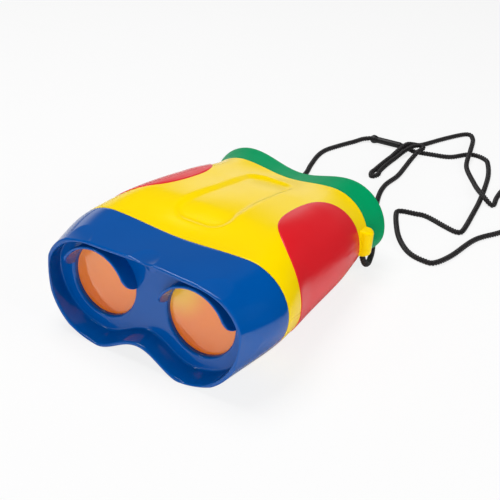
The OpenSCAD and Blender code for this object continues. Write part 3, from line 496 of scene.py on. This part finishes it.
lower_shapes = [shell_shape(np.concatenate([lower_right, -lower_right[::-1][1:]]))]
lower_shapes += [lug_half(side, lug_bottom, -lug_gap) for side in (-1, 1)]
lower_shapes += [screw_post(y, foot, parting - parting_gap / 2) for y, parting, _, foot in posts]
lower = make_piece("lower_body_shell", lower_shapes, body_yellow)
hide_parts("bottom_shell")


# Side panels: two red ovals of satin polypropylene, injection moulded. They wrap the sides and are let into
# the shells. Their edge is rounded over, so a fine line of shade runs round each.
panel_y, panel_half_length, panel_wrap, panel_fullness, panel_thickness = 74, 40, 1.1, 2.5, 1.4
panel_proud, edge_fall, edge_width, mean_radius = 0.3, 0.75, 0.9, 38
# Rings from the middle of the oval to its edge, closer together where the edge rounds over
reach = np.append(np.linspace(0.002, 0.96, 40), np.linspace(0.965, 1, 8))
bearing = np.linspace(0, 2 * math.pi, 240, endpoint=False)
along, around = reach[:, None] * np.cos(bearing), reach[:, None] * np.sin(bearing)
squarish = (np.abs(along)**panel_fullness + np.abs(around)**panel_fullness)**(1 / panel_fullness)
fuller = reach[:, None] / squarish
panel_places, panel_turns = panel_y + panel_half_length * along * fuller, 2 + panel_wrap * around * fuller
to_edge = np.clip(1 - (1 - reach) * mean_radius / edge_width, 0, 1)[:, None]
# Satin polypropylene: a full red with a softer, rosy gloss
panel_red = moulded_plastic("satin_red_moulded_polypropylene", "#e3222b", "#df1f28", "#ffb0bc",
                            ior=1.36, roughness=0.2, peel_mm=0.8, peel_strength=0.03)
for side, name in ((-1, "left"), (1, "right")):
    outside = body_point(panel_places, edge_fall * to_edge**2 - panel_proud, side * panel_turns)
    inside = body_point(panel_places, panel_thickness, side * panel_turns)
    rings = np.concatenate([outside, inside[::-1]])
    rows, columns = len(rings), len(bearing)
    faces = rows_of_quads(rows, columns, True)
    faces += [list(range(columns)), list(range((rows - 1) * columns, rows * columns))]
    panel = make_piece(name + "_red_panel", [(rings, faces)], panel_red)
    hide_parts(name + "_side_panel")


# Eyepieces: a black ABS plate that closes the rear spigot, two clear acrylic lenses in its collars, and a
# black ring that holds each of them. All are injection moulded, and the eyecup's bead keeps the plate in.
haze_mm = 4
# Clear acrylic: almost colourless, with a sharp gloss that a thin haze softens in places
clear = new_material("clear_moulded_acrylic")
place = add(clear, "ShaderNodeTexCoord").outputs["Object"]
haze = add(clear, "ShaderNodeTexNoise", {"Vector": place}, Scale=1000 / haze_mm, Detail=4.0)
polish = add(clear, "ShaderNodeMapRange", {"Value": haze.outputs["Fac"]},
             From_Min=0.3, From_Max=0.8, To_Min=0.01, To_Max=0.08)
glass = add(clear, "ShaderNodeBsdfPrincipled", {"Roughness": polish.outputs["Result"]},
            Base_Color=linear("#eef4f2"), IOR=1.49, Transmission_Weight=0.9)
add(clear, "ShaderNodeOutputMaterial", {"Surface": glass.outputs["BSDF"]})
give_finish(ring_black, "eyepiece_plate", "left_eyepiece_retainer", "right_eyepiece_retainer")
give_finish(clear, "left_eyepiece_lens", "right_eyepiece_lens")


# Eyecup: a soft green thermoplastic rubber moulding, stretched over the rear spigot. It flares to the
# rear edge, with two humps, a nose notch, a rounded lip and a bead that holds the eyepiece plate.
cup_front, cup_lip, cup_bead, bead_front = cup_y + seam_gap, 1.1, 1.8, 135.3
flare_start, flare_end, lip_half_wall, bead_slope, bead_softening = 127, rear_y - 1.6, 1, 0.6, 0.2
front_edge, inside_flare = ((0, 0.5), (0.13, 0.15), (0.45, 0)), ((138.6, 2.6), (137.1, 3.4))
cup_turns = turns_around(161)
# Outside from the front edge to the lip, over it, and back inside to the bead: y and the inset of the skin
cup_profile = [(cup_front, cup_wall)] + [(cup_front + y, inset) for y, inset in front_edge]
cup_profile += [(y, 0) for y in np.linspace(flare_start, flare_end, 16)]
cup_profile += [(rear_y - cup_lip + cup_lip * math.sin(a), lip_half_wall * (1 - math.cos(a)))
                for a in np.linspace(0, math.pi, 13)]
cup_profile += [*inside_flare, (bead_front + bead_slope, cup_wall + cup_bead - bead_softening),
                (bead_front, cup_wall + cup_bead), (bead_front, cup_wall)]
cup_rings = np.array([body_point(y, inset, cup_turns) for y, inset in cup_profile])
rows, columns = cup_rings.shape[:2]
last = (rows - 1) * columns
cup_faces = rows_of_quads(rows, columns, True)
cup_faces += [[last + j, j, (j + 1) % columns, last + (j + 1) % columns] for j in range(columns)]
cloud_mm, grain_mm, grain_height_mm = 18, 0.7, 0.2
# Thermoplastic rubber: a soft, slightly clouded green with a broad dull sheen. Its moulded grain is drawn
# coarser than a real one, so that it shows.
rubber = new_material("green_thermoplastic_rubber")
place = add(rubber, "ShaderNodeTexCoord").outputs["Object"]
cloud = add(rubber, "ShaderNodeTexNoise", {"Vector": place}, Scale=1000 / cloud_mm, Detail=4.0)
tint = add(rubber, "ShaderNodeMix", {"Factor": cloud.outputs["Fac"]}, data_type="RGBA",
           A=linear("#009f65"), B=linear("#009258"))
grain = add(rubber, "ShaderNodeTexNoise", {"Vector": place}, Scale=1000 / grain_mm, Detail=2.0)
bump = add(rubber, "ShaderNodeBump", {"Height": grain.outputs["Fac"]},
           Strength=0.3, Distance=grain_height_mm / 1000)
sheen = add(rubber, "ShaderNodeMapRange", {"Value": cloud.outputs["Fac"]},
            From_Min=0.3, From_Max=0.7, To_Min=0.44, To_Max=0.54)
skin = add(rubber, "ShaderNodeBsdfPrincipled",
           {"Base Color": tint.outputs["Result"], "Roughness": sheen.outputs["Result"],
            "Normal": bump.outputs["Normal"]}, IOR=1.27, Specular_Tint=linear("#80e0b8"))
add(rubber, "ShaderNodeOutputMaterial", {"Surface": skin.outputs["BSDF"]})
cup = make_piece("rubber_eyecup", [(cup_rings, cup_faces)], rubber)
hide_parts("eyecup")


# Case screws: three self-tapping screws of zinc-plated steel, sunk in their seats under the body. They draw
# the two shells together through the posts.
mottle_mm = 1.2
# Zinc plating: a grey metal with a soft, slightly mottled shine
zinc = new_material("zinc_plated_steel")
place = add(zinc, "ShaderNodeTexCoord").outputs["Object"]
mottle = add(zinc, "ShaderNodeTexNoise", {"Vector": place}, Scale=1000 / mottle_mm, Detail=3.0)
dull = add(zinc, "ShaderNodeMapRange", {"Value": mottle.outputs["Fac"]},
           From_Min=0.3, From_Max=0.7, To_Min=0.25, To_Max=0.45)
plating = add(zinc, "ShaderNodeBsdfPrincipled", {"Roughness": dull.outputs["Result"]},
              Base_Color=linear("#b9bcc0"), Metallic=1.0)
add(zinc, "ShaderNodeOutputMaterial", {"Surface": plating.outputs["BSDF"]})
give_finish(zinc, "case_screws")


# Neck cord: a black three-strand twisted polyester cord, 2.8 mm thick, from a knot in the left lug over a
# breakaway clasp to a knot in the right lug. It lies loose on the surface behind the toy.
fibre_mm, fibre_height_mm = 0.6, 0.2
# Polyester yarn: a dull black, slightly mottled by its fibres, which are drawn coarser than real ones, so
# that they show
polyester = new_material("black_twisted_polyester_cord")
place = add(polyester, "ShaderNodeTexCoord").outputs["Object"]
fibre = add(polyester, "ShaderNodeTexNoise", {"Vector": place}, Scale=1000 / fibre_mm, Detail=4.0)
shade = add(polyester, "ShaderNodeMix", {"Factor": fibre.outputs["Fac"]}, data_type="RGBA",
            A=linear("#0a0809"), B=linear("#231f21"))
bump = add(polyester, "ShaderNodeBump", {"Height": fibre.outputs["Fac"]},
           Strength=0.5, Distance=fibre_height_mm / 1000)
yarn = add(polyester, "ShaderNodeBsdfPrincipled",
           {"Base Color": shade.outputs["Result"], "Normal": bump.outputs["Normal"]},
           Roughness=0.6, Sheen_Weight=0.15, Sheen_Roughness=0.4)
add(polyester, "ShaderNodeOutputMaterial", {"Surface": yarn.outputs["BSDF"]})

lug_axis, knot_bottom, knot_middle = 53.6, -0.85, 1.9


def lug_point(side, z):
    # Point on the axis of a lug's bore, in the frame of the rest surface, in millimetres
    return to_rest([side * lug_axis, lug_y, z])[0] * 1000


def smooth_route(points, spacing):
    # Cubic curve through the points, each with a tangent along its neighbours, walked at an even spacing
    points = np.asarray(points, float)
    ends = np.concatenate([points[:1], points, points[-1:]])
    t = np.linspace(0, 1, 24, endpoint=False)[:, None]
    curve = [0.5 * (2 * q + (r - p) * t + (2 * p - 5 * q + 4 * r - s) * t**2 + (3 * q - p - 3 * r + s) * t**3)
             for p, q, r, s in zip(ends, ends[1:], ends[2:], ends[3:])]
    curve = np.concatenate(curve + [points[-1:]])
    walked = np.concatenate([[0], np.cumsum(np.linalg.norm(np.diff(curve, axis=0), axis=1))])
    at = np.linspace(0, walked[-1], int(walked[-1] / spacing) + 2)
    return np.stack([np.interp(at, walked, curve[:, c]) for c in range(3)], -1), walked[-1]


strands, corners_per_strand = 3, 6
furrow, lobe, lobe_fullness = 0.86, 0.36, 0.8


def cord_mesh(name, path, radius, pitch, closed=False):
    # Strands laid up in a helix round the path: the section has one lobe for each strand
    heading = np.roll(path, -1, 0) - np.roll(path, 1, 0) if closed else np.gradient(path, axis=0)
    heading /= np.linalg.norm(heading, axis=1)[:, None]
    first = np.cross(heading[0], (0, 0, 1) if abs(heading[0][2]) < 0.9 else (1, 0, 0))
    sideways = [first / np.linalg.norm(first)]
    for h in heading[1:]:
        s = sideways[-1] - h * sideways[-1].dot(h)
        sideways.append(s / np.linalg.norm(s))
    sideways = np.array(sideways)
    upward = np.cross(heading, sideways)
    corners = strands * corners_per_strand
    walked = np.concatenate([[0], np.cumsum(np.linalg.norm(np.diff(path, axis=0), axis=1))])
    around = np.linspace(0, 2 * math.pi, corners, endpoint=False)
    angle = around + (walked / pitch * 2 * math.pi)[:, None]
    size = radius * (furrow + lobe * np.abs(np.cos(strands / 2 * around)) ** lobe_fullness)
    rings = (path[:, None, :] + (size * np.cos(angle))[..., None] * sideways[:, None, :]
             + (size * np.sin(angle))[..., None] * upward[:, None, :])
    faces = rows_of_quads(len(path), corners, True)
    last = (len(path) - 1) * corners
    if closed:
        faces += [[last + j, j, (j + 1) % corners, last + (j + 1) % corners] for j in range(corners)]
    else:
        faces += [list(range(corners)), list(range(last, last + corners))]
    mesh = bpy.data.meshes.new(name)
    mesh.from_pydata((rings.reshape(-1, 3) / 1000).tolist(), [], faces)
    mesh.shade_smooth()
    mesh.materials.append(polyester)
    piece = bpy.data.objects.new(name, mesh)
    bpy.context.collection.objects.link(piece)
    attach(piece, "root")
    return piece


# Heights of the cord's middle line where it lies on the surface and where it goes over itself
lay, over = 1.5, 4.2
left_route = [lug_point(-1, knot_bottom), lug_point(-1, lug_bottom - 1)] + [
    (-54.2, 57.6, 7.5), (-53.8, 63.2, 4), (-52.6, 71, 2), (-49, 89, lay), (-40, 110, lay), (-31.5, 126, lay),
    (-30.5, 140, lay), (-34, 154, lay), (-37, 169, lay), (-36.8, 180, lay), (-32.5, 192, lay),
    (-27.5, 203, lay), (-23.5, 210.3, 2.2), (-19, 213.5, 2.9)]
right_route = [lug_point(1, knot_bottom), lug_point(1, lug_bottom - 1)] + [
    (54.2, 57.6, 7.5), (53.6, 63.2, 4), (51.4, 71, 2), (47, 83.5, lay), (32, 117, lay), (22.5, 141, lay),
    (19, 158, lay), (20, 174.5, lay), (18.5, 190, lay), (17, 203, lay), (17.4, 213, 3.4),
    (18.6, 218.4, over), (16, 220.6, over + 0.3), (12, 216.3, over + 0.3), (9.3, 208, 3.4), (7.4, 197, lay),
    (6.9, 184, lay), (7.3, 174, lay), (8.5, 168.6, lay), (6.3, 164.4, lay), (3.9, 168.4, lay),
    (3.9, 174, lay), (3.9, 184, lay), (4.3, 197, lay), (5.9, 207, 4), (8, 213.8, 5.8), (10.6, 218.8, 4.7),
    (14.2, 224.2, 3), (18.4, 238, lay), (25.8, 253.5, lay), (31.5, 262.8, lay), (35.2, 264.6, lay),
    (38.6, 260.5, lay), (41.5, 253.5, lay), (47, 234, over), (52.5, 214.5, lay), (66.5, 194, lay),
    (77, 179, over), (86, 174.5, lay), (84.5, 186.5, lay), (85, 200, lay), (95, 208, lay), (108, 198, lay),
    (111, 166, lay), (102, 145.5, lay), (92.5, 128, lay), (88, 103, lay), (83, 90, lay), (77, 88.5, lay),
    (68.5, 90.5, lay), (60.5, 96.5, lay), (51.5, 108, lay), (41.5, 127, lay), (41.5, 133, lay),
    (50.5, 135.5, lay), (58, 136.5, lay), (73, 131.5, lay), (80.5, 130, lay), (82.5, 134.5, lay),
    (80, 156, lay), (76.5, 179, lay), (69.5, 210, lay), (62, 229, lay), (57.5, 234, lay), (51, 235.5, lay),
    (45.5, 233, lay), (37.5, 222.5, lay), (26.5, 218.5, lay), (14, 215.3, lay), (9, 215.8, 2.2),
    (4.5, 215.5, 2.9)]
cord_diameter, cord_pitch, cord_step = 2.8, 5.4, 0.6
# The knot is a trefoil, with its cord drawn thin as in a knot that is pulled tight
knot_strand, knot_pitch, knot_loop, knot_rise = 1.9, 5.0, 0.6, 1.5
loop_turn = np.linspace(0, 2 * math.pi, 90, endpoint=False)
trefoil = np.stack([knot_loop * (np.sin(loop_turn) + 2 * np.sin(2 * loop_turn)),
                    knot_loop * (np.cos(loop_turn) - 2 * np.cos(2 * loop_turn)),
                    -knot_rise * np.sin(3 * loop_turn)], -1)
for side, name, route, fitting in ((-1, "left", left_route, "breakaway_socket"),
                                   (1, "right", right_route, "breakaway_plug")):
    path, length = smooth_route(route, cord_step)
    path[:, 2] = np.maximum(path[:, 2], lay)
    cord = cord_mesh(name + "_neck_cord", path, cord_diameter / 2, cord_pitch)
    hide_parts("neck_cord_" + name)
    knot_path = to_rest(trefoil + (side * lug_axis, lug_y, knot_middle)) * 1000
    knot = cord_mesh(name + "_stopper_knot", knot_path, knot_strand / 2, knot_pitch, True)
    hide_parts(name + "_cord_knot")


# Breakaway clasp: a collared socket and a plug of black nylon, each moulded and fixed on an end of the cord.
# The plug's pin sits in the socket and pulls out when the cord is caught.
# Moulded nylon: a near-black satin that hardly glints beside the yarn
clasp_nylon = moulded_plastic("black_moulded_nylon", "#0c0a0b", "#151314", "#ffffff",
                              ior=1.5, roughness=0.5, peel_mm=0.9, peel_strength=0.2)
give_finish(clasp_nylon, "breakaway_socket", "breakaway_plug")


# Studio: a white sweep, a black card, soft lamps overhead, in front and at the right, and a small one at the
# front left that gives the crisp glints. The camera stands high at the front right, as in the photograph.
sweep_half, white_share = 4, 0.82
sweep_mesh = bpy.data.meshes.new("white_sweep")
sweep_mesh.from_pydata([(x * sweep_half, y * sweep_half, 0) for x, y in ((-1, -1), (1, -1), (1, 1), (-1, 1))],
                       [], [(0, 1, 2, 3)])
sweep = bpy.data.objects.new("white_sweep", sweep_mesh)
bpy.context.collection.objects.link(sweep)
# Seamless paper: plain white to the camera and through the lenses, with the toy's shadow left on it
paper = new_material("white_paper_sweep")
ray = add(paper, "ShaderNodeLightPath")
matte = add(paper, "ShaderNodeBsdfDiffuse", Color=(0.9, 0.9, 0.9, 1.0))
white = add(paper, "ShaderNodeEmission", Color=(1.0, 1.0, 1.0, 1.0), Strength=1.0)
seen = add(paper, "ShaderNodeMath", {0: ray.outputs["Is Camera Ray"], 1: ray.outputs["Is Transmission Ray"]},
           operation="MAXIMUM")
share = add(paper, "ShaderNodeMath", {0: seen.outputs[0]}, operation="MULTIPLY")
share.inputs[1].default_value = white_share
mixed = add(paper, "ShaderNodeMixShader", {0: share.outputs[0], 1: matte.outputs[0], 2: white.outputs[0]})
add(paper, "ShaderNodeOutputMaterial", {"Surface": mixed.outputs[0]})
sweep_mesh.materials.append(paper)

# A black card beside the toy, out of the camera's sight, keeps the gloss of the right side deep. Its felt
# has no gloss of its own and thins out toward the edges, so that they leave no line in the toy's gloss.
card_start, card_end, card_height = (0.295, -0.14), (-0.045, 0.2), 0.5
card_mesh = bpy.data.meshes.new("black_card")
card_mesh.from_pydata([(*card_start, 0), (*card_end, 0), (*card_end, card_height),
                       (*card_start, card_height)], [], [(0, 1, 2, 3)])
card = bpy.data.objects.new("black_card", card_mesh)
bpy.context.collection.objects.link(card)
felt = new_material("black_felt")
nap = add(felt, "ShaderNodeBsdfDiffuse", Color=(0.01, 0.01, 0.01, 1.0))
place = add(felt, "ShaderNodeTexCoord").outputs["Generated"]
across = add(felt, "ShaderNodeSeparateXYZ", {"Vector": place})
end = add(felt, "ShaderNodeMapRange", {"Value": across.outputs["Y"]}, interpolation_type="SMOOTHSTEP",
          From_Min=0.6, From_Max=0.98, To_Min=1.0, To_Max=0.0)
top = add(felt, "ShaderNodeMapRange", {"Value": across.outputs["Z"]}, interpolation_type="SMOOTHSTEP",
          From_Min=0.5, From_Max=1.0, To_Min=1.0, To_Max=0.0)
hem = add(felt, "ShaderNodeMapRange", {"Value": across.outputs["Z"]}, interpolation_type="SMOOTHSTEP",
          From_Min=0.0, From_Max=0.035, To_Min=0.0, To_Max=1.0)
above_hem = add(felt, "ShaderNodeMath", {0: end.outputs["Result"], 1: top.outputs["Result"]},
                operation="MULTIPLY")
cover = add(felt, "ShaderNodeMath", {0: above_hem.outputs[0], 1: hem.outputs["Result"]}, operation="MULTIPLY")
thin_air = add(felt, "ShaderNodeBsdfTransparent")
thinned = add(felt, "ShaderNodeMixShader", {0: cover.outputs[0], 1: thin_air.outputs[0], 2: nap.outputs[0]})
add(felt, "ShaderNodeOutputMaterial", {"Surface": thinned.outputs[0]})
card_mesh.materials.append(felt)
card.visible_camera = card.visible_diffuse = card.visible_shadow = card.visible_transmission = False

# The room is white to the camera and through the lenses. All else sees it dim, with a pale backdrop that
# stands low at the rear left and shows in the gloss.
backdrop_heading, room_dim = (-0.54, 0.84, 0.0), 0.12
world = bpy.data.worlds.new("studio")
bpy.context.scene.world = world
world.use_nodes = True
world.node_tree.nodes.clear()
ray = add(world, "ShaderNodeLightPath")
seen = add(world, "ShaderNodeMath", {0: ray.outputs["Is Camera Ray"], 1: ray.outputs["Is Transmission Ray"]},
           operation="MAXIMUM")
toward = add(world, "ShaderNodeTexCoord").outputs["Generated"]
behind = add(world, "ShaderNodeVectorMath", {0: toward}, operation="DOT_PRODUCT")
behind.inputs[1].default_value = backdrop_heading
wall = add(world, "ShaderNodeMapRange", {"Value": behind.outputs["Value"]}, interpolation_type="SMOOTHSTEP",
           From_Min=0.25, From_Max=0.6, To_Min=room_dim, To_Max=1.0)
above = add(world, "ShaderNodeSeparateXYZ", {"Vector": toward})
foot = add(world, "ShaderNodeMapRange", {"Value": above.outputs["Z"]}, interpolation_type="SMOOTHSTEP",
           From_Min=0.1, From_Max=0.42, To_Min=1.0, To_Max=room_dim)
backdrop = add(world, "ShaderNodeMath", {0: wall.outputs["Result"], 1: foot.outputs["Result"]},
               operation="MULTIPLY")
level = add(world, "ShaderNodeMath", {0: backdrop.outputs[0], 1: seen.outputs[0]}, operation="MAXIMUM")
air = add(world, "ShaderNodeBackground", {"Strength": level.outputs[0]}, Color=(1.0, 1.0, 1.0, 1.0))
add(world, "ShaderNodeOutputWorld", {"Surface": air.outputs[0]})

# Square lamps: where each stands, its side, its power, and whether it shows in the gloss
lamp_target = Vector((0, 0, 0.03))
for name, stand, size, power, glints in (
        ("overhead_softbox", (-0.25, 0.05, 0.95), 0.5, 6.8, True),
        ("front_softbox", (0.25, -1.0, 0.3), 0.6, 5.6, False),
        ("right_softbox", (1.0, 0.1, 0.5), 0.6, 4.8, False),
        ("front_left_lamp", (-0.55, -0.75, 0.6), 0.1, 0.5, True)):
    lamp = bpy.data.lights.new(name, "AREA")
    lamp.shape = "SQUARE"
    lamp.size = size
    lamp.energy = power
    lamp_object = bpy.data.objects.new(name, lamp)
    bpy.context.collection.objects.link(lamp_object)
    lamp_object.location = stand
    lamp_object.visible_glossy = glints
    lamp_object.rotation_euler = (lamp_target - Vector(stand)).to_track_quat("-Z", "Y").to_euler()

# The camera's focal length in pixels of a frame 500 wide, its place and its axes
focal_pixels, frame_pixels, sensor_mm = 985.157, 500, 36
camera_place = (0.23785, -0.37015, 0.30077)
right = Vector((0.843, 0.53655, 0.03827))
up = Vector((-0.31212, 0.42996, 0.84718))
ahead = Vector((-0.43809, 0.72612, -0.52992))
bpy.context.scene.view_settings.view_transform = "Standard"
lens_data = bpy.data.cameras.new("camera")
lens_data.sensor_fit = "HORIZONTAL"
lens_data.sensor_width = sensor_mm
lens_data.lens = focal_pixels / frame_pixels * sensor_mm
lens_data.clip_start = 0.01
camera = bpy.data.objects.new("camera", lens_data)
bpy.context.collection.objects.link(camera)
camera.matrix_world = Matrix.Translation(camera_place) @ Matrix((right, up, -ahead)).transposed().to_4x4()
bpy.context.scene.camera = camera
